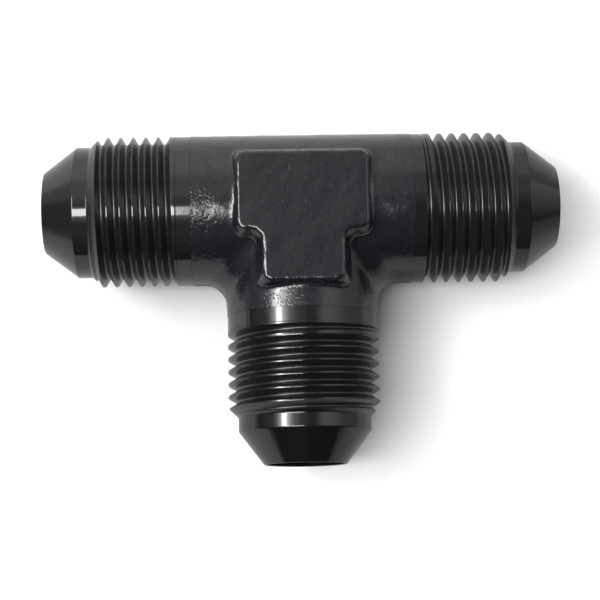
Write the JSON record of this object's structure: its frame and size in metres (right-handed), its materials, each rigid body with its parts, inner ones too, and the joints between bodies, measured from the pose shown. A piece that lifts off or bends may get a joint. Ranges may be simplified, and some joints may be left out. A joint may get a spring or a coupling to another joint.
{
  "type": "flare fitting",
  "caption": "Flare union tee: straight run and side branch with threaded male 37 degree flare ends, joined by a forged middle with T-shaped wrench pads.",
  "frame": {"origin": "crossing of the run axis and the branch axis, in the middle of the tee", "axes": "+X along the run towards run_end_right, the branch points along -Y, +Z out of the front wrench pad, so the tee lies flat"},
  "size_m": [0.0648, 0.042, 0.0206],
  "materials": {
    "as_forged_black_anodise": "satin black anodise over a dimpled as-forged skin",
    "turned_black_anodise": "glossy black anodise over lathe-turned metal"
  },
  "bodies": {
    "root": {"forged_body": "as_forged_black_anodise", "run_end_left": "turned_black_anodise", "run_end_right": "turned_black_anodise", "branch_end": "turned_black_anodise"}
  },
  "joints": []
}
